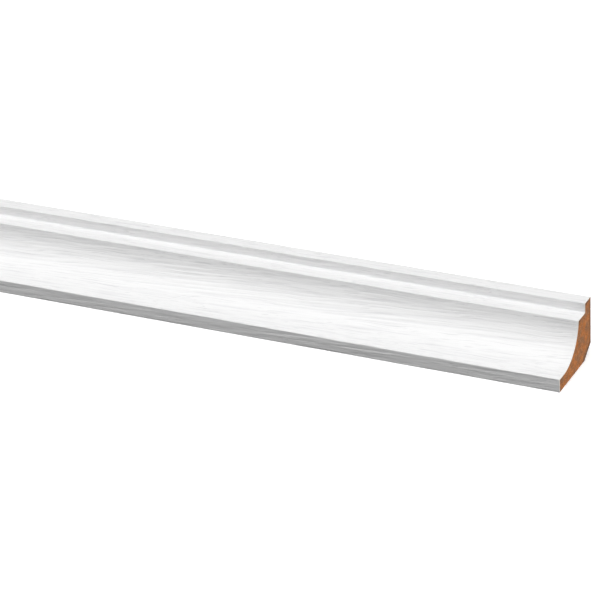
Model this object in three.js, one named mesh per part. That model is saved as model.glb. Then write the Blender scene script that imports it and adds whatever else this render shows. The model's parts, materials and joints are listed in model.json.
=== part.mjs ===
// A length of crown moulding: one piece of fibre board, milled to a profile and wrapped in white foil.
//
// It lies on its ceiling face, as it does on a bench. X runs along the length, Y runs from the front to the
// wall face at the back, and Z is up. The origin is the middle of the underside.
import * as THREE from "three";

// Driving dimensions, in millimetres.
const LENGTH = 400;
const CEILING_REACH = 50; // how far the moulding reaches along the ceiling, front to back
const WALL_DROP = 36.5; // how far it reaches down the wall, underside to top

const NOSE_HEIGHT = 8.5; // the upright band at the bottom of the front
const NOSE_FLAT = 6.5; // the flat on top of the nose, up to where the cove starts
const LEDGE_WIDTH = 10.5; // the flat between the cove and the lip
const LIP_HEIGHT = 6; // the upright band between the ledge and the top
const LIP_WIDTH = 9.5; // the flat top
const ROOT_RADIUS = 0.6; // the barely rounded inner corner where the lip meets the ledge
const BACK_CUT_REACH = 11; // the slanted cut off the lower back corner, along Y
const BACK_CUT_HEIGHT = 7.5; // and along Z
const EDGE_SOFTENING = 0.6; // how far each sharp edge is eased, to let the foil wrap round it

const CURVE_STEPS = 8; // a circular arc gets twice as many flat facets

const FOIL_WHITE = 0xf2f2f1;

// Goes round one corner of an outline: straight up to the easing, then a small curve past the corner itself.
function easeCorner(outline, before, corner, after) {
  outline.lineTo(before.x, before.y);
  outline.quadraticCurveTo(corner.x, corner.y, after.x, after.y);
}

// The point that lies a given distance from one point towards another.
function towards(from, to, distance) {
  return to.clone().sub(from).setLength(distance).add(from);
}

// Eases the corner between two straight edges.
function easeStraightCorner(outline, previous, corner, next) {
  easeCorner(
    outline,
    towards(corner, previous, EDGE_SOFTENING),
    corner,
    towards(corner, next, EDGE_SOFTENING),
  );
}

// The cove is an arc of a circle. It leaves the nose's flat without a step and rises to the ledge's front edge,
// so its radius follows from how far it runs back and how far it climbs.
function coveCircle(start, end) {
  const run = end.x - start.x;
  const rise = end.y - start.y;
  const radius = (run * run + rise * rise) / (2 * rise);
  const centre = new THREE.Vector2(start.x, start.y + radius);
  const endAngle = Math.atan2(end.y - centre.y, end.x - centre.x);
  return { radius, centre, endAngle };
}

// The cross-section, anticlockwise from the bottom front edge: x is the depth from the front, y is the height.
function mouldingProfile() {
  const ledgeHeight = WALL_DROP - LIP_HEIGHT;
  const lipFront = CEILING_REACH - LIP_WIDTH;

  const frontBottom = new THREE.Vector2(0, 0);
  const slantBottom = new THREE.Vector2(CEILING_REACH - BACK_CUT_REACH, 0);
  const slantTop = new THREE.Vector2(CEILING_REACH, BACK_CUT_HEIGHT);
  const backTop = new THREE.Vector2(CEILING_REACH, WALL_DROP);
  const lipTop = new THREE.Vector2(lipFront, WALL_DROP);
  const ledgeFront = new THREE.Vector2(lipFront - LEDGE_WIDTH, ledgeHeight);
  const coveStart = new THREE.Vector2(NOSE_FLAT, NOSE_HEIGHT);
  const noseTop = new THREE.Vector2(0, NOSE_HEIGHT);
  const root = new THREE.Vector2(lipFront, ledgeHeight);

  const outline = new THREE.Shape();
  outline.moveTo(EDGE_SOFTENING, 0);

  // Underside, slanted cut and wall face. These edges are sawn, so they stay sharp.
  outline.lineTo(slantBottom.x, slantBottom.y);
  outline.lineTo(slantTop.x, slantTop.y);

  // Flat top and the lip's front.
  easeStraightCorner(outline, slantTop, backTop, lipTop);
  easeStraightCorner(outline, backTop, lipTop, root);

  // Rounded root of the lip, then forward along the ledge.
  outline.lineTo(root.x, root.y + ROOT_RADIUS);
  outline.absarc(
    root.x - ROOT_RADIUS,
    root.y + ROOT_RADIUS,
    ROOT_RADIUS,
    0,
    -Math.PI / 2,
    true,
  );

  // Over the ledge's front edge and down the cove to the flat of the nose.
  const cove = coveCircle(coveStart, ledgeFront);
  const easedAngle = cove.endAngle - EDGE_SOFTENING / cove.radius;
  const coveTop = new THREE.Vector2(Math.cos(easedAngle), Math.sin(easedAngle))
    .multiplyScalar(cove.radius)
    .add(cove.centre);
  easeCorner(
    outline,
    towards(ledgeFront, root, EDGE_SOFTENING),
    ledgeFront,
    coveTop,
  );
  outline.absarc(
    cove.centre.x,
    cove.centre.y,
    cove.radius,
    easedAngle,
    -Math.PI / 2,
    true,
  );

  // Nose.
  easeStraightCorner(outline, coveStart, noseTop, frontBottom);
  easeStraightCorner(outline, noseTop, frontBottom, slantBottom);
  return outline;
}

function makeCrownMoulding() {
  const geometry = new THREE.ExtrudeGeometry(mouldingProfile(), {
    depth: LENGTH,
    bevelEnabled: false,
    curveSegments: CURVE_STEPS,
  });
  const foil = new THREE.MeshStandardMaterial({
    color: FOIL_WHITE,
    roughness: 0.45,
    metalness: 0,
  });
  const moulding = new THREE.Mesh(geometry, foil);
  moulding.name = "crown_moulding";

  // The section is drawn flat and pulled out square to it. Here its depth turns to Y, its height to Z and the
  // pull to X.
  const lieDown = new THREE.Matrix4().makeBasis(
    new THREE.Vector3(0, 1, 0),
    new THREE.Vector3(0, 0, 1),
    new THREE.Vector3(1, 0, 0),
  );
  moulding.quaternion.setFromRotationMatrix(lieDown);
  moulding.position.set(-LENGTH / 2, -CEILING_REACH / 2, 0);
  return moulding;
}

const crownMouldingLength = new THREE.Group();
crownMouldingLength.add(makeCrownMoulding());

export default crownMouldingLength;
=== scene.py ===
# %% [markdown]
# # A length of crown moulding
#
# The real thing is one piece of fibre board, about 30 mm thick before it was milled to a profile, with a
# thin white foil glued over its front. It lies on its ceiling face, upside down from how it is put up,
# and a saw has cut it square. This lesson draws the section as a line, makes the sawn ends from it, joins
# the ends into one closed body, presses a wood grain into the foil, and then finishes the foil and the
# bare board.
#
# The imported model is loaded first. It gives the true box, so nothing has to be fitted by eye.

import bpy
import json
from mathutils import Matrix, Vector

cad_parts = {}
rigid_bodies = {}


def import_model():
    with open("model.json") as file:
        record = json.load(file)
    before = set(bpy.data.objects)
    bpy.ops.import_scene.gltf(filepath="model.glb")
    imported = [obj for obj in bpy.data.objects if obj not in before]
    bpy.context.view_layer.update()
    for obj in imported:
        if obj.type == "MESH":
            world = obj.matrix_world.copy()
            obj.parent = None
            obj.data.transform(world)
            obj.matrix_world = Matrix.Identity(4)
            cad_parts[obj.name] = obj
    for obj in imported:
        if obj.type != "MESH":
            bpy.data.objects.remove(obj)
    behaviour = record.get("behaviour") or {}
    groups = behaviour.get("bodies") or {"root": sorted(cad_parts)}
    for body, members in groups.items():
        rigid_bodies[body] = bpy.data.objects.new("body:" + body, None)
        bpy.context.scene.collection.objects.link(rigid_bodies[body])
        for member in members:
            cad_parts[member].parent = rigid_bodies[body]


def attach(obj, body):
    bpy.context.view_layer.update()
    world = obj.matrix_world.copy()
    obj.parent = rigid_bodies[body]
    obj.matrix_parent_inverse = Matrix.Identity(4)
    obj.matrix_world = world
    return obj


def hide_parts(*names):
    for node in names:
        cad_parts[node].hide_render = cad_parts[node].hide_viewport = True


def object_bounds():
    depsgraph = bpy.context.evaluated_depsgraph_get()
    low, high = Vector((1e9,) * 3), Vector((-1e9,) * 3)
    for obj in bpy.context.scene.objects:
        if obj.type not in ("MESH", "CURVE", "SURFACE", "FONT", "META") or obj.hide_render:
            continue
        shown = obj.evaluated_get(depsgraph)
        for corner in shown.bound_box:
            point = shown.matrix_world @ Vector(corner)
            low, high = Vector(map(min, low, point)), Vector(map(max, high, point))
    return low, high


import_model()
cad_low, cad_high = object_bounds()
print("box of the model in mm:", [round(1000 * side, 1) for side in cad_high - cad_low])

# %% The rest of what this lesson uses
import json
import math

import bmesh
import bpy
from mathutils import Quaternion, Vector

MM = 0.001

# %% [markdown]
# The camera comes first, so that every later step can be checked against the same view. A long lens from
# nearly two metres away keeps the long edges almost parallel. The camera stands to the right and above,
# so the cut end just shows, and it is held a little crooked, as a hand does. It is placed by where the
# near bottom corner of the moulding stands in front of it, because that corner is easy to find.

# %% Camera
CAMERA_AZIMUTH = math.radians(26.2)
CAMERA_HEIGHT_ANGLE = math.radians(27.1)
CAMERA_TILT = math.radians(-2.8)
CORNER_RIGHT = 0.1443
CORNER_ABOVE = -0.0517
CORNER_AHEAD = 1.722
SENSOR_WIDTH = 36
LENS = 186

looking = Vector((
    -math.sin(CAMERA_AZIMUTH) * math.cos(CAMERA_HEIGHT_ANGLE),
    math.cos(CAMERA_AZIMUTH) * math.cos(CAMERA_HEIGHT_ANGLE),
    -math.sin(CAMERA_HEIGHT_ANGLE),
))
turn = looking.to_track_quat("-Z", "Y") @ Quaternion((0, 0, 1), CAMERA_TILT)
near_corner = Vector((cad_high.x, cad_low.y, cad_low.z))
corner_seen = Vector((CORNER_RIGHT, CORNER_ABOVE, -CORNER_AHEAD))
bpy.ops.object.camera_add(location=near_corner - turn @ corner_seen, rotation=turn.to_euler())
camera = bpy.context.object
camera.name = "camera"
camera.data.sensor_width = SENSOR_WIDTH
camera.data.lens = LENS
bpy.context.scene.camera = camera
print("camera stands at", [round(c, 3) for c in camera.location])

# %% [markdown]
# The box gives the length, how far the moulding reaches along the ceiling and how far it drops down the
# wall. The profile's own sizes are named here, as a moulding plane's maker would name them. `section`
# turns a depth from the front and a height into a point of the left end's plane.

# %% Sizes of the profile
left, front, bottom = cad_low
length, reach, drop = cad_high - cad_low

NOSE_HEIGHT = 8.5 * MM
NOSE_FLAT = 6.5 * MM
LEDGE_WIDTH = 10.5 * MM
LIP_HEIGHT = 6 * MM
LIP_WIDTH = 9.5 * MM
ROOT_RADIUS = 0.6 * MM
BACK_CUT_REACH = 11 * MM
BACK_CUT_HEIGHT = 7.5 * MM
EDGE_RADIUS = 0.6 * MM

FOIL = 0.35 * MM
FOIL_TURNED_IN = 8 * MM

ledge_height = drop - LIP_HEIGHT
lip_front = reach - LIP_WIDTH
ledge_front = lip_front - LEDGE_WIDTH


def section(depth, height):
    return Vector((left, front + depth, bottom + height))


print("length, reach and drop in mm:", [round(side / MM, 1) for side in (length, reach, drop)])

# %% [markdown]
# The cove is part of a circle that leaves the flat of the nose without a step and climbs to the front
# edge of the ledge. Its radius follows from how far it runs back and how far it climbs. The edge above it
# is rounded by a second, small circle that touches the first one and the ledge, so the cove stops where
# the two touch.

# %% Work out the cove
cove_run = ledge_front - NOSE_FLAT
cove_rise = ledge_height - NOSE_HEIGHT
cove_radius = (cove_run ** 2 + cove_rise ** 2) / (2 * cove_rise)
cove_centre = (NOSE_FLAT, NOSE_HEIGHT + cove_radius)

edge_centre_height = ledge_height - EDGE_RADIUS
edge_below = cove_centre[1] - edge_centre_height
edge_behind = math.sqrt((cove_radius + EDGE_RADIUS) ** 2 - edge_below ** 2)
edge_centre = (cove_centre[0] + edge_behind, edge_centre_height)
short_of_upright = math.atan2(edge_below, edge_behind)
cove_turn = math.pi / 2 - short_of_upright
print("cove radius in mm:", round(cove_radius / MM, 2), "turn in degrees:", round(math.degrees(cove_turn), 1))

# %% [markdown]
# A section is drawn the way it is done by hand. A plane shrinks to one vertex, which is the pen.
# Extruding the pen pulls a straight line, and spinning it round a centre pulls an arc. The grain in the
# foil will be real relief, so straight lines are pulled in short steps there, and in longer ones on the
# bare board.

# %% The pen
QUARTER = math.pi / 2
FOIL_STEP = 0.4 * MM
BOARD_STEP = 1.2 * MM


def start_line(name, start):
    bpy.ops.object.select_all(action="DESELECT")
    bpy.ops.mesh.primitive_plane_add(size=MM, location=start)
    piece = bpy.context.object
    piece.name = name
    bpy.ops.object.transform_apply(location=True, rotation=False, scale=False)
    bpy.ops.object.mode_set(mode="EDIT")
    bpy.ops.mesh.select_all(action="SELECT")
    bpy.ops.mesh.merge(type="CENTER")
    return piece


def pen_place():
    points = bmesh.from_edit_mesh(bpy.context.object.data).verts
    return next(point.co.copy() for point in points if point.select)


def pull_to(depth, height, step=FOIL_STEP):
    way = section(depth, height) - pen_place()
    count = max(1, round(way.length / step))
    for _ in range(count):
        bpy.ops.mesh.extrude_region_move(TRANSFORM_OT_translate={"value": way / count})


def pull_arc(centre, anticlockwise, steps):
    # Seen from the right end. The spin operator counts its angle the other way round.
    bpy.ops.mesh.spin(steps=steps, angle=-anticlockwise, center=section(*centre), axis=(1, 0, 0))


# %% [markdown]
# The line starts on the underside, where the foil's turned-in edge ends, and goes round the front, over
# the top and down the back. The foil lies on the board, so where it ends the line steps in by the foil's
# thickness and goes on along the bare board. The slant at the lower back corner is what is left of the
# board's own back face.

# %% Draw the section
EDGE_STEPS = 4
ROOT_STEPS = 4
COVE_STEPS = 90
slant_slope = BACK_CUT_HEIGHT / BACK_CUT_REACH

moulding = start_line("crown_moulding_length", section(FOIL_TURNED_IN, 0))
pull_to(EDGE_RADIUS, 0)
pull_arc((EDGE_RADIUS, EDGE_RADIUS), -QUARTER, EDGE_STEPS)
pull_to(0, NOSE_HEIGHT - EDGE_RADIUS)
pull_arc((EDGE_RADIUS, NOSE_HEIGHT - EDGE_RADIUS), -QUARTER, EDGE_STEPS)
pull_to(NOSE_FLAT, NOSE_HEIGHT)
pull_arc(cove_centre, cove_turn, COVE_STEPS)
pull_arc(edge_centre, -cove_turn, EDGE_STEPS)
pull_to(lip_front - ROOT_RADIUS, ledge_height)
pull_arc((lip_front - ROOT_RADIUS, ledge_height + ROOT_RADIUS), QUARTER, ROOT_STEPS)
pull_to(lip_front, drop - EDGE_RADIUS)
pull_arc((lip_front + EDGE_RADIUS, drop - EDGE_RADIUS), -QUARTER, EDGE_STEPS)
pull_to(reach - EDGE_RADIUS, drop)
pull_arc((reach - EDGE_RADIUS, drop - EDGE_RADIUS), -QUARTER, EDGE_STEPS)
pull_to(reach, drop - FOIL_TURNED_IN)

pull_to(reach - FOIL, drop - FOIL_TURNED_IN)
pull_to(reach - FOIL, BACK_CUT_HEIGHT - FOIL * slant_slope, BOARD_STEP)
pull_to(reach - BACK_CUT_REACH + FOIL / slant_slope, FOIL, BOARD_STEP)
pull_to(FOIL_TURNED_IN, FOIL, BOARD_STEP)
pull_to(FOIL_TURNED_IN, 0)
bpy.ops.mesh.select_all(action="SELECT")
bpy.ops.mesh.remove_doubles(threshold=0.001 * MM)
print("section closed with", len(bmesh.from_edit_mesh(moulding.data).verts), "points")

# %% [markdown]
# The saw shows the section itself: board in the middle and the foil's cut edge round it. Filling the line
# gives the face, and an inset as wide as the foil is thick gives the edge. Each face remembers what it is
# by its material slot, so the slots are named before there are any materials in them.

# %% Fill the sawn end and inset the foil's edge
SLOT_NAMES = ("foil", "sawn", "milled", "board face")
FOIL_SLOT, SAWN_SLOT, MILLED_SLOT, BOARD_FACE_SLOT = range(len(SLOT_NAMES))
for _ in SLOT_NAMES:
    moulding.data.materials.append(None)

bpy.ops.mesh.edge_face_add()
bpy.ops.mesh.inset(thickness=FOIL, use_even_offset=True)
for face in bmesh.from_edit_mesh(moulding.data).faces:
    face.material_index = SAWN_SLOT if face.select else FOIL_SLOT
print("sawn end has", len(bmesh.from_edit_mesh(moulding.data).faces), "faces")

# %% [markdown]
# A saw leaves fibre board slightly torn, which needs a fine net of faces. One plane after another cuts
# the sawn face, first upright and then level. This is quick now, while the mesh is still only one end.

# %% Cut the sawn face into a net
NET_STEP = 0.45 * MM


def cut_sawn_face(place, normal):
    for face in bmesh.from_edit_mesh(moulding.data).faces:
        face.select_set(face.material_index == SAWN_SLOT)
    bpy.ops.mesh.bisect(plane_co=place, plane_no=normal)


bpy.context.tool_settings.mesh_select_mode = (False, False, True)
for column in range(1, int(reach / NET_STEP)):
    cut_sawn_face(section(column * NET_STEP, 0), (0, 1, 0))
for row in range(1, int(drop / NET_STEP)):
    cut_sawn_face(section(0, row * NET_STEP), (0, 0, 1))
print("net of the sawn end has", len(bmesh.from_edit_mesh(moulding.data).faces), "faces")

# %% [markdown]
# The other end is a copy, moved along by the length. A bridge between the two rims makes the body in one
# go, with its cuts along the length for the grain to bend.

# %% Copy the end and bridge the two
LENGTH_STEP = 1.6 * MM

bpy.ops.mesh.select_all(action="SELECT")
bpy.ops.mesh.duplicate_move(TRANSFORM_OT_translate={"value": (length, 0, 0)})
bpy.ops.mesh.select_all(action="DESELECT")
bpy.context.tool_settings.mesh_select_mode = (False, True, False)
for edge in bmesh.from_edit_mesh(moulding.data).edges:
    edge.select_set(edge.is_boundary)
bpy.ops.mesh.bridge_edge_loops(number_cuts=round(length / LENGTH_STEP) - 1, interpolation="LINEAR")
bpy.ops.mesh.select_all(action="SELECT")
bpy.ops.mesh.normals_make_consistent(inside=False)

body = bmesh.from_edit_mesh(moulding.data)
open_edges = sum(not edge.is_manifold for edge in body.edges)
print("body:", len(body.faces), "faces,", open_edges, "open edges,",
      round(body.calc_volume(signed=True) / MM ** 3), "mm3")

# %% [markdown]
# The body's sides now get their slots, by where they lie in the section. The inset's narrow rim round
# each sawn end is the foil's cut edge only where it meets a side with foil on it. Elsewhere it is sawn
# board as well.

# %% Tell foil, sawn, milled and board face apart
ON_SURFACE = 0.02 * MM


def slot_of_side(face):
    middle = face.calc_center_median()
    depth, height = middle.y - front, middle.z - bottom
    if (depth - reach + BACK_CUT_REACH) * slant_slope > height - ON_SURFACE:
        return BOARD_FACE_SLOT
    bare_underside = depth > FOIL_TURNED_IN and height < FOIL + ON_SURFACE
    bare_back = depth > reach - FOIL - ON_SURFACE and height < drop - FOIL_TURNED_IN
    return MILLED_SLOT if bare_underside or bare_back else FOIL_SLOT


def is_side(face):
    return abs(face.normal.x) < 0.5


sides = [face for face in body.faces if is_side(face)]
rims = [face for face in body.faces if not is_side(face) and face.material_index == FOIL_SLOT]
for face in sides:
    face.material_index = slot_of_side(face)
for face in rims:
    beside = {other.material_index for edge in face.edges for other in edge.link_faces if is_side(other)}
    face.material_index = FOIL_SLOT if FOIL_SLOT in beside else SAWN_SLOT
for slot, name in enumerate(SLOT_NAMES):
    print(name, "faces:", sum(face.material_index == slot for face in body.faces))

# %% [markdown]
# The saw chips the foil's hard film a little, so its cut edge is broken to a narrow slope. The slope
# catches the light from above and draws a pale line round the end. Moving the outer ring of each rim
# inward along the length makes it.

# %% Break the foil's cut edge
FOIL_BREAK = 0.3 * MM

bpy.context.tool_settings.mesh_select_mode = (True, False, False)
foil_sides = [face for face in sides if face.material_index == FOIL_SLOT]
for end in (-1, 1):
    bpy.ops.mesh.select_all(action="DESELECT")
    for point in {point for face in foil_sides for point in face.verts}:
        point.select_set(abs(point.co.x - end * length / 2) < ON_SURFACE)
    bpy.ops.transform.translate(value=(-end * FOIL_BREAK, 0, 0))
    print("points moved back at one end:", sum(point.select for point in body.verts))
bpy.ops.object.mode_set(mode="OBJECT")

# %% [markdown]
# The foil carries an embossed wood grain. A roller pressed it in, so it is real relief, at most as deep
# as two or three sheets of paper. The Displace modifier presses a cloud texture into the surface. An
# empty gives the texture its size: stretched along the length, the clouds become fibres, and turned a
# little, they drift across the moulding as grain does. The texture is clamped and only pushes inward, so
# the moulding never outgrows its box.

# %% Press relief into one group of points
def group_points(name, indices):
    moulding.vertex_groups.new(name=name).add(indices, 1.0, "REPLACE")
    return name


def press(group, texture, depth, size, turned=(0, 0, 0), place=(0, 0, 0)):
    bpy.ops.object.empty_add(location=place, rotation=turned)
    guide = bpy.context.object
    guide.scale = size
    bpy.context.view_layer.update()
    modifier = moulding.modifiers.new("press", "DISPLACE")
    modifier.texture = texture
    modifier.texture_coords = "OBJECT"
    modifier.texture_coords_object = guide
    modifier.vertex_group = group
    modifier.mid_level = 1
    modifier.strength = depth
    bpy.ops.object.select_all(action="DESELECT")
    bpy.context.view_layer.objects.active = moulding
    moulding.select_set(True)
    bpy.ops.object.modifier_apply(modifier=modifier.name)
    bpy.data.objects.remove(guide)


def cloud_texture(name, depth, contrast):
    texture = bpy.data.textures.new(name, "CLOUDS")
    texture.noise_scale = 1
    texture.noise_depth = depth
    texture.contrast = contrast
    texture.use_clamp = True
    return texture


# %% [markdown]
# Foil that ends at a saw cut keeps its edge, so the points on the two rims stay where they are. On the
# sawn ends only the points inside the rim move.

# %% Find the foil's points and the sawn ends' points
mesh = moulding.data
slots_at = [set() for _ in mesh.vertices]
for polygon in mesh.polygons:
    for index in polygon.vertices:
        slots_at[index].add(polygon.material_index)
end_starts = length / 2 - FOIL_BREAK - ON_SURFACE
is_end_point = [abs(point.co.x) > end_starts for point in mesh.vertices]

foil_points = [i for i, slots in enumerate(slots_at) if slots == {FOIL_SLOT} and not is_end_point[i]]
sawn_points = [i for i, slots in enumerate(slots_at) if slots == {SAWN_SLOT} and is_end_point[i]]
foil_group = group_points("foil", foil_points)
sawn_group = group_points("sawn", sawn_points)
print("points of the foil:", len(foil_points), "and of the sawn ends:", len(sawn_points))

# %% [markdown]
# Two sizes of grain are pressed in: broad bands, as growth rings make on a board's face, and fine fibres.
# The empty's turn makes both climb towards the top edge on their way to the right.

# %% Press the grain into the foil
GRAIN_DRIFT = math.radians(2.6)
GROWTH_DEPTH = 0.16 * MM
GROWTH_SIZE = (130 * MM, 1.6 * MM, 1.6 * MM)
FIBRE_DEPTH = 0.13 * MM
FIBRE_SIZE = (60 * MM, 0.7 * MM, 0.7 * MM)
drift = (0, -GRAIN_DRIFT, GRAIN_DRIFT)
flat_points = [point.co.copy() for point in mesh.vertices]

growth = cloud_texture("growth", depth=2, contrast=1.6)
fibre = cloud_texture("fibre", depth=1, contrast=1.4)
press(foil_group, growth, GROWTH_DEPTH, GROWTH_SIZE, drift)
press(foil_group, fibre, FIBRE_DEPTH, FIBRE_SIZE, drift)
pressed = [(point.co - flat_points[i]).length for i, point in enumerate(mesh.vertices)]
print("grain is up to", round(max(pressed) / MM, 3), "mm deep")

# %% [markdown]
# The saw tears small pits out of fibre board. Its teeth also leave faint arcs with the blade's own
# radius. The arcs come from the wood texture, whose rings lie round the empty. Blender draws rings and
# bands as the sine of twenty times the place, so their spacing is worked out from that.

# %% Tear the sawn ends a little
PIT_DEPTH = 0.16 * MM
PIT_SIZE = (0.8 * MM, 0.8 * MM, 0.8 * MM)
BLADE_RADIUS = 125 * MM
BLADE_AHEAD = 20 * MM
ARC_SPACING = 1.8 * MM
ARC_DEPTH = 0.08 * MM
SINE_RATE = 20

pits = cloud_texture("pits", depth=2, contrast=1.6)
press(sawn_group, pits, PIT_DEPTH, PIT_SIZE)
arcs = bpy.data.textures.new("saw_arcs", "WOOD")
arcs.wood_type = "RINGS"
arcs.noise_basis_2 = "SIN"
arcs.use_clamp = True
ring_size = ARC_SPACING * SINE_RATE / (2 * math.pi)
blade_centre = (0, front - BLADE_AHEAD, bottom - BLADE_RADIUS)
press(sawn_group, arcs, ARC_DEPTH, (1, ring_size, ring_size), place=blade_centre)

# %% [markdown]
# The finishes need to know three things about each point: how deep the grain is there, how near it is to
# an edge that gets rubbed, and how near it is to the lip's root, which gets painted shade. They are kept on
# the mesh, as attributes.

# %% Keep grain depth and wear on the points
EDGE_REACH = 1.4 * MM
ROOT_REACH = 3 * MM
DEEPEST = max(pressed)

rubbed_edges = [
    (0, 0), (0, NOSE_HEIGHT), (ledge_front, ledge_height), (lip_front, drop), (reach, drop),
]
roots = [(lip_front, ledge_height)]


def nearness(point, edges, limit):
    depth, height = point.y - front, point.z - bottom
    nearest = min(math.hypot(depth - edge[0], height - edge[1]) for edge in edges)
    return max(0.0, 1 - nearest / limit)


def keep_on_points(name, values):
    attribute = mesh.attributes.new(name, "FLOAT", "POINT")
    attribute.data.foreach_set("value", values)


keep_on_points("grain_depth", [depth / DEEPEST for depth in pressed])
keep_on_points("edge_nearness", [nearness(point, rubbed_edges, EDGE_REACH) for point in flat_points])
keep_on_points("root_nearness", [nearness(point, roots, ROOT_REACH) for point in flat_points])

bpy.ops.object.shade_smooth_by_angle(angle=math.radians(30))

# %% [markdown]
# A finish is a small net of nodes. These helpers keep the nets short: one makes a material, one makes a
# node with its settings, one a noise in the object's own space, and one mixes two colours by a value. A
# waved noise swings slowly up and down along the length, so that the grain isn't ruler straight.

# %% Helpers for the finishes
WAVE_LENGTH = 55 * MM
WAVE_WIDTH = 12 * MM


class Finish:
    def __init__(self, name, slot):
        self.material = bpy.data.materials.new(name)
        self.material.use_nodes = True
        self.nodes = self.material.node_tree.nodes
        self.links = self.material.node_tree.links
        self.shader = self.nodes["Principled BSDF"]
        self.place = self.node("ShaderNodeTexCoord").outputs["Object"]
        mesh.materials[slot] = self.material

    def node(self, kind, **settings):
        made = self.nodes.new(kind)
        for name, value in settings.items():
            setattr(made, name, value)
        return made

    def put(self, socket, value):
        if isinstance(value, bpy.types.NodeSocket):
            self.links.new(value, socket)
        else:
            socket.default_value = value

    def noise(self, size, detail=3, roughness=0.55, turned=(0, 0, 0), wave=0):
        mapping = self.node("ShaderNodeMapping", vector_type="TEXTURE")
        self.put(mapping.inputs["Vector"], self.waved(wave) if wave else self.place)
        self.put(mapping.inputs["Rotation"], turned)
        self.put(mapping.inputs["Scale"], [side * MM for side in size])
        noise = self.node("ShaderNodeTexNoise")
        self.put(noise.inputs["Vector"], mapping.outputs["Vector"])
        self.put(noise.inputs["Scale"], 1)
        self.put(noise.inputs["Detail"], detail)
        self.put(noise.inputs["Roughness"], roughness)
        return noise.outputs["Fac"]

    def waved(self, height):
        swell = self.noise((WAVE_LENGTH / MM, WAVE_WIDTH / MM, WAVE_WIDTH / MM), detail=1)
        lift = self.sums("MULTIPLY", self.sums("SUBTRACT", swell, 0.5), 4 * height * MM)
        both = self.node("ShaderNodeCombineXYZ")
        self.put(both.inputs["Y"], lift)
        self.put(both.inputs["Z"], lift)
        moved = self.node("ShaderNodeVectorMath", operation="ADD")
        self.put(moved.inputs[0], self.place)
        self.put(moved.inputs[1], both.outputs["Vector"])
        return moved.outputs["Vector"]

    def spread(self, value, low, high, to_low=0.0, to_high=1.0):
        mapped = self.node("ShaderNodeMapRange", interpolation_type="SMOOTHSTEP")
        ends = {"From Min": low, "From Max": high, "To Min": to_low, "To Max": to_high}
        self.put(mapped.inputs["Value"], value)
        for name, number in ends.items():
            self.put(mapped.inputs[name], number)
        return mapped.outputs["Result"]

    def sums(self, operation, first, second):
        made = self.node("ShaderNodeMath", operation=operation)
        self.put(made.inputs[0], first)
        self.put(made.inputs[1], second)
        return made.outputs["Value"]

    def mix(self, share, first, second):
        made = self.node("ShaderNodeMix", data_type="RGBA")
        self.put(made.inputs["Factor"], share)
        self.put(made.inputs["A"], first)
        self.put(made.inputs["B"], second)
        return made.outputs["Result"]

    def kept(self, name):
        return self.node("ShaderNodeAttribute", attribute_name=name).outputs["Fac"]

    def bump(self, height, distance, strength=1.0, under=None):
        made = self.node("ShaderNodeBump")
        self.put(made.inputs["Height"], height)
        self.put(made.inputs["Distance"], distance)
        self.put(made.inputs["Strength"], strength)
        if under is not None:
            self.put(made.inputs["Normal"], under)
        return made.outputs["Normal"]


def colour(red, green, blue):
    return (red, green, blue, 1)


# %% [markdown]
# The foil is a printed white film with a satin coat. Down in the pressed grain it carries painted shade, a
# darker tone, and the coat is duller there. Rubbed edges are smoother and let a trace of grey
# through, and painted shade darkens the lip's root. The film's own paper is cream. It shows as a thin
# line where the saw went through, and in small nicks beside the cut.

# %% White foil
FOIL_WHITE = colour(0.92, 0.92, 0.92)
FOIL_GRAIN_AND_SHADE = colour(0.76, 0.76, 0.77)
FOIL_PORE = colour(0.60, 0.60, 0.61)
FOIL_RUBBED = colour(0.84, 0.835, 0.82)
FOIL_PAPER = colour(0.95, 0.90, 0.82)
NICK = 0.7 * MM

GROOVE_PAINTED_SHADE = 0.55
STREAK_SHADE = 0.5
PORE_SHADE = 0.5
RUBBED_SHADE = 0.6
ROOT_PAINTED_SHADE = 0.6
NICK_SHADE = 0.8

foil = Finish("white_foil", FOIL_SLOT)
grain_depth = foil.spread(foil.kept("grain_depth"), 0.45, 0.95)
streak = foil.noise((110, 1.1, 1.1), detail=3, turned=drift, wave=1.4)
in_streak = foil.spread(streak, 0.52, 0.72)
# Painted shade: the tone is darker where the pressed grain is deepest.
tone = foil.mix(foil.sums("MULTIPLY", grain_depth, GROOVE_PAINTED_SHADE), FOIL_WHITE, FOIL_GRAIN_AND_SHADE)
tone = foil.mix(foil.sums("MULTIPLY", in_streak, STREAK_SHADE), tone, FOIL_GRAIN_AND_SHADE)
pore = foil.spread(foil.noise((55, 0.5, 0.5), detail=2, turned=drift, wave=1.4), 0.58, 0.70)
tone = foil.mix(foil.sums("MULTIPLY", pore, PORE_SHADE), tone, FOIL_PORE)
rubbing = foil.spread(foil.noise((6, 1.5, 1.5)), 0.42, 0.7)
rubbed = foil.sums("MULTIPLY", foil.kept("edge_nearness"), rubbing)
tone = foil.mix(foil.sums("MULTIPLY", rubbed, RUBBED_SHADE), tone, FOIL_RUBBED)
# Painted shade: the tone is darker near the lip's inner root corner.
root_painted_shade = foil.sums("MULTIPLY", foil.kept("root_nearness"), ROOT_PAINTED_SHADE)
tone = foil.mix(root_painted_shade, tone, FOIL_GRAIN_AND_SHADE)

sides_of_place = foil.node("ShaderNodeSeparateXYZ")
foil.put(sides_of_place.inputs["Vector"], foil.place)
from_middle = foil.sums("ABSOLUTE", sides_of_place.outputs["X"], 0)
beside_cut = foil.spread(from_middle, length / 2 - NICK, length / 2)
nicked = foil.spread(foil.sums("MULTIPLY", beside_cut, foil.noise((0.5, 0.5, 0.5), detail=2)), 0.3, 0.42)
cut_through = foil.spread(from_middle, length / 2 - FOIL_BREAK, length / 2 - 0.9 * FOIL_BREAK)
paper_shows = foil.sums("MAXIMUM", foil.sums("MULTIPLY", nicked, NICK_SHADE), cut_through)
tone = foil.mix(paper_shows, tone, FOIL_PAPER)
foil.put(foil.shader.inputs["Base Color"], tone)

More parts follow.
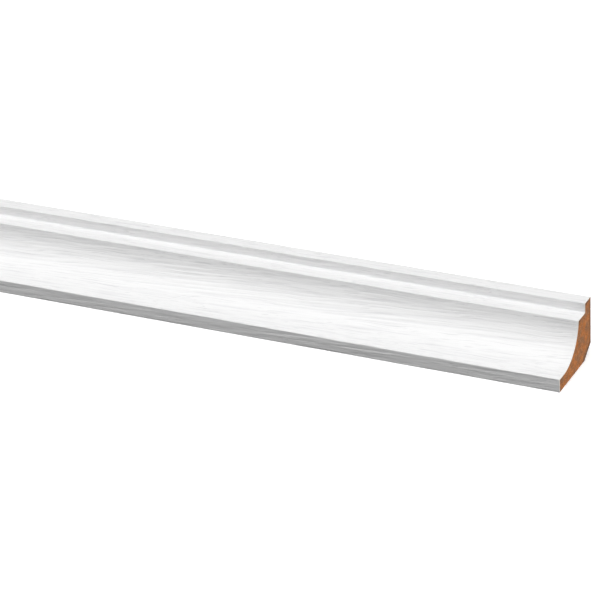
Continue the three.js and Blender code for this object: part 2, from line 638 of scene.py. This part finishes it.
dull = foil.sums("ADD", foil.spread(streak, 0.35, 0.7, 0.36, 0.5), foil.sums("MULTIPLY", grain_depth, 0.06))
foil.put(foil.shader.inputs["Roughness"], foil.sums("SUBTRACT", dull, foil.sums("MULTIPLY", rubbed, 0.1)))
pores = foil.noise((5, 0.22, 0.22), detail=2, turned=drift)
streak_bump = foil.bump(foil.spread(streak, 0.46, 0.70, 1, 0), 0.07 * MM, 0.8)
pore_bump = foil.bump(foil.spread(pores, 0.35, 0.6), 0.012 * MM, 0.7, streak_bump)
foil.put(foil.shader.inputs["Normal"], pore_bump)

# %% [markdown]
# Fibre board isn't one colour through its thickness. The press packs its two faces hard, which darkens
# them, and leaves the core lighter and more orange. The profile was milled at a slant, so these layers
# run at a slant too, side by side with the slanted face at the back. The distance from that face is one
# dot product. The fibres were pressed flat as well. They lie every way along the board and hardly stand
# up in it, so on the sawn end they look like short dashes at the same slant.

# %% What all bare board shares
slant = math.atan2(BACK_CUT_HEIGHT, BACK_CUT_REACH)
board_up = Vector((0, -math.sin(slant), math.cos(slant)))
board_foot = Vector((0, front + reach - BACK_CUT_REACH, bottom))
BOARD_THICKNESS = 30 * MM
SKIN = 4.5 * MM

BOARD_CORE = colour(0.66, 0.23, 0.065)
BOARD_BROWN = colour(0.36, 0.18, 0.095)
BOARD_SKIN = colour(0.14, 0.08, 0.052)
BOARD_PALE = colour(0.78, 0.46, 0.25)
BOARD_DARK = colour(0.14, 0.055, 0.028)


def board_colour(finish, strand, skin_tone=BOARD_SKIN, cloudiness=0.7):
    lying = (slant, 0, 0)
    rise = finish.node("ShaderNodeVectorMath", operation="DOT_PRODUCT")
    finish.put(rise.inputs[0], finish.place)
    finish.put(rise.inputs[1], board_up)
    up = finish.sums("SUBTRACT", rise.outputs["Value"], board_foot.dot(board_up))
    wander = finish.sums("MULTIPLY", finish.noise((9, 4, 4), detail=2), 1.5 * MM)
    up = finish.sums("ADD", up, wander)
    back_skin = finish.spread(up, 0.5 * MM, SKIN, 1, 0)
    front_skin = finish.spread(up, BOARD_THICKNESS - SKIN, BOARD_THICKNESS, 0, 1)
    in_skin = finish.sums("MAXIMUM", back_skin, front_skin)
    cloud = finish.spread(finish.noise((12, 5, 5), detail=3), 0.65, 0.35)
    tone = finish.mix(finish.sums("MULTIPLY", cloud, cloudiness), BOARD_CORE, BOARD_BROWN)
    tone = finish.mix(in_skin, tone, skin_tone)
    pale = finish.spread(finish.noise((strand, strand, 0.3 * strand), 5, 0.7, lying), 0.5, 0.68)
    short = 0.7 * strand
    dark = finish.spread(finish.noise((short, short, 0.35 * short), 5, 0.7, lying), 0.5, 0.34)
    tone = finish.mix(finish.sums("MULTIPLY", pale, 0.7), tone, BOARD_PALE)
    return finish.mix(finish.sums("MULTIPLY", dark, 0.75), tone, BOARD_DARK)


# %% [markdown]
# The sawn ends are the roughest: torn fibres of all directions, and no shine at all. Along the back
# and the top of the lip the board is made a little darker.

# %% Sawn board
BACK_AND_TOP_DARK = colour(0.20, 0.09, 0.05)
BACK_AND_TOP_DARK_REACH = 3 * MM
BACK_AND_TOP_DARK_SHARE = 0.85

sawn = Finish("sawn_board", SAWN_SLOT)
sides_of_cut = sawn.node("ShaderNodeSeparateXYZ")
sawn.put(sides_of_cut.inputs["Vector"], sawn.place)
# The sawn board's tone is made darker along the back and the top of the lip.
near_back = sawn.spread(sides_of_cut.outputs["Y"], front + reach - BACK_AND_TOP_DARK_REACH, front + reach)
near_top = sawn.spread(sides_of_cut.outputs["Z"], bottom + drop - BACK_AND_TOP_DARK_REACH, bottom + drop)
darker_at_back_and_top = sawn.sums("MULTIPLY", sawn.sums("MAXIMUM", near_back, near_top), BACK_AND_TOP_DARK_SHARE)
sawn_tone = sawn.mix(darker_at_back_and_top, board_colour(sawn, 1.9, cloudiness=0.85), BACK_AND_TOP_DARK)
sawn.put(sawn.shader.inputs["Base Color"], sawn_tone)
fuzz = sawn.noise((0.25, 0.25, 0.25), detail=4, roughness=0.7)
sawn.put(sawn.shader.inputs["Roughness"], sawn.spread(fuzz, 0.3, 0.7, 0.82, 0.98))
sawn.put(sawn.shader.inputs["Normal"], sawn.bump(fuzz, 0.06 * MM, 0.8))
sawn.put(sawn.shader.inputs["Specular IOR Level"], 0.2)

# %% [markdown]
# The wall face and the ceiling face were milled. The cutter turns as the board goes by, so each knife
# leaves one shallow ripple across, about every two millimetres.

# %% Milled board
KNIFE_SPACING = 2.2 * MM

milled = Finish("milled_board", MILLED_SLOT)
ripple = milled.node("ShaderNodeTexWave", wave_type="BANDS", bands_direction="X")
milled.put(ripple.inputs["Vector"], milled.place)
milled.put(ripple.inputs["Scale"], 2 * math.pi / (SINE_RATE * KNIFE_SPACING))
milled.put(ripple.inputs["Distortion"], 0)
knife = ripple.outputs["Fac"]
milled_tone = board_colour(milled, 1.1, cloudiness=0.4)
milled.put(milled.shader.inputs["Base Color"], milled_tone)
milled.put(milled.shader.inputs["Roughness"], milled.spread(knife, 0, 1, 0.62, 0.74))
milled_fuzz = milled.noise((0.8, 0.2, 0.2), detail=3)
knife_bump = milled.bump(knife, 0.02 * MM, 0.7)
milled.put(milled.shader.inputs["Normal"], milled.bump(milled_fuzz, 0.03 * MM, 0.6, knife_bump))
milled.put(milled.shader.inputs["Specular IOR Level"], 0.3)

# %% [markdown]
# The slant is the board's own back face. The factory sanded it, lengthwise, so it is the smoothest bare
# face and has fine long scratches.

# %% Sanded board face
BOARD_SANDED = colour(0.42, 0.24, 0.13)

sanded = Finish("sanded_board_face", BOARD_FACE_SLOT)
scratch = sanded.noise((30, 0.15, 0.15), detail=3, roughness=0.7)
sanded_tone = board_colour(sanded, 1.1, BOARD_SANDED, 0.4)
scratched = sanded.spread(scratch, 0.55, 0.75)
scratched_tone = sanded.mix(sanded.sums("MULTIPLY", scratched, 0.25), sanded_tone, BOARD_PALE)
sanded.put(sanded.shader.inputs["Base Color"], scratched_tone)
sanded.put(sanded.shader.inputs["Roughness"], sanded.spread(scratch, 0.3, 0.7, 0.5, 0.66))
sanded.put(sanded.shader.inputs["Normal"], sanded.bump(scratch, 0.015 * MM, 0.7))
sanded.put(sanded.shader.inputs["Specular IOR Level"], 0.35)

# %% [markdown]
# The floor is plain and almost white, and so is the wall that stands far round it. Neither throws light
# on the moulding or keeps light from it, so that the nose stays as grey as it should. The tent does
# almost all the lighting.

# %% Floor and wall
STAGE_RADIUS = 6
WALL_HEIGHT = 8


def set_as_stage(thing, name):
    thing.name = name
    thing.visible_diffuse = False
    thing.visible_glossy = False
    thing.visible_shadow = False


bpy.ops.mesh.primitive_circle_add(vertices=96, radius=STAGE_RADIUS, fill_type="NGON")
floor = bpy.context.object
set_as_stage(floor, "floor")
floor_paint = bpy.data.materials.new("floor")
floor_paint.use_nodes = True
floor_shader = floor_paint.node_tree.nodes["Principled BSDF"]
floor_shader.inputs["Base Color"].default_value = colour(0.95, 0.95, 0.95)
floor_shader.inputs["Roughness"].default_value = 0.9
floor_shader.inputs["Specular IOR Level"].default_value = 0
floor_shader.inputs["Emission Color"].default_value = colour(1, 1, 1)
floor_shader.inputs["Emission Strength"].default_value = 0.4
floor.data.materials.append(floor_paint)

bpy.ops.mesh.primitive_cylinder_add(
    vertices=96, radius=STAGE_RADIUS, depth=WALL_HEIGHT,
    end_fill_type="NOTHING", location=(0, 0, WALL_HEIGHT / 2),
)
wall = bpy.context.object
set_as_stage(wall, "wall")
wall_paint = bpy.data.materials.new("wall")
wall_paint.use_nodes = True
wall_shader = wall_paint.node_tree.nodes["Principled BSDF"]
wall_shader.inputs["Base Color"].default_value = colour(0.1, 0.1, 0.1)
wall_shader.inputs["Specular IOR Level"].default_value = 0
wall_shader.inputs["Emission Color"].default_value = colour(1, 1, 1)
wall_shader.inputs["Emission Strength"].default_value = 1
wall.data.materials.append(wall_paint)

# %% [markdown]
# The light is a tent of white cloth with one broad bright panel above, leaning out to the front. The
# panel faces the hollow of the cove squarely, which makes the lower cove the brightest part and
# leaves the upright nose grey. How bright the tent is depends on the angle, seen from the right end: 0
# degrees is level to the front, 90 is overhead and 180 is level to the back. Minus degrees are below,
# where a little light comes up at the back.

# %% Tent of light
TENT_STRENGTH = 0.76
TENT_BRIGHTEST = 3
TENT = {
    -180: 0.7, -105: 0.5, -85: 0, 20: 0.1,
    45: 1.7, 60: 2.9, 75: 3, 90: 1.9, 105: 0.2, 120: 0.1, 135: 0.5, 180: 0.9,
}

world = bpy.data.worlds.new("light_tent")
world.use_nodes = True
bpy.context.scene.world = world
bpy.context.scene.view_settings.view_transform = "Standard"
tent_nodes = world.node_tree.nodes
tent_links = world.node_tree.links
towards = tent_nodes.new("ShaderNodeSeparateXYZ")
tent_links.new(tent_nodes.new("ShaderNodeTexCoord").outputs["Generated"], towards.inputs["Vector"])
to_front = tent_nodes.new("ShaderNodeMath")
to_front.operation = "MULTIPLY"
to_front.inputs[1].default_value = -1
tent_links.new(towards.outputs["Y"], to_front.inputs[0])
angle = tent_nodes.new("ShaderNodeMath")
angle.operation = "ARCTAN2"
tent_links.new(towards.outputs["Z"], angle.inputs[0])
tent_links.new(to_front.outputs["Value"], angle.inputs[1])
share_round = tent_nodes.new("ShaderNodeMapRange")
share_round.inputs["From Min"].default_value = -math.pi
share_round.inputs["From Max"].default_value = math.pi
tent_links.new(angle.outputs["Value"], share_round.inputs["Value"])
cloth = tent_nodes.new("ShaderNodeValToRGB")
tent_links.new(share_round.outputs["Result"], cloth.inputs["Fac"])
stops = cloth.color_ramp.elements
while len(stops) < len(TENT):
    stops.new(0.5)
for stop, (degrees, brightness) in zip(stops, TENT.items()):
    stop.position = (degrees + 180) / 360
    level = brightness / TENT_BRIGHTEST
    stop.color = colour(level, level, level)
tent_links.new(cloth.outputs["Color"], tent_nodes["Background"].inputs["Color"])
tent_nodes["Background"].inputs["Strength"].default_value = TENT_STRENGTH * TENT_BRIGHTEST
print("tent has", len(stops), "levels of brightness round it")

# %% [markdown]
# The tent lights the two sawn ends only weakly, because they face along it. One round lamp stands beyond
# each end, low enough that it doesn't wash over the foil.

# %% Lamps
LAMP_AWAY = 1.4
LAMP_HEIGHT = 0.12
LAMP_SIZE = 0.6
LAMP_POWER = 2.5


def add_lamp(name, place, aim):
    way = Vector(aim) - Vector(place)
    bpy.ops.object.light_add(type="AREA", location=place, rotation=way.to_track_quat("-Z", "Y").to_euler())
    lamp = bpy.context.object
    lamp.name = name
    lamp.data.shape = "DISK"
    lamp.data.size = LAMP_SIZE
    lamp.data.energy = LAMP_POWER


for name, side in (("right", 1), ("left", -1)):
    add_lamp(name, (side * LAMP_AWAY, 0, LAMP_HEIGHT), (side * length / 2, 0, drop / 2))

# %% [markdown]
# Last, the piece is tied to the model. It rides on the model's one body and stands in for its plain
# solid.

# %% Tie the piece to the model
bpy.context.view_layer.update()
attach(moulding, "root")
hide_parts("crown_moulding")
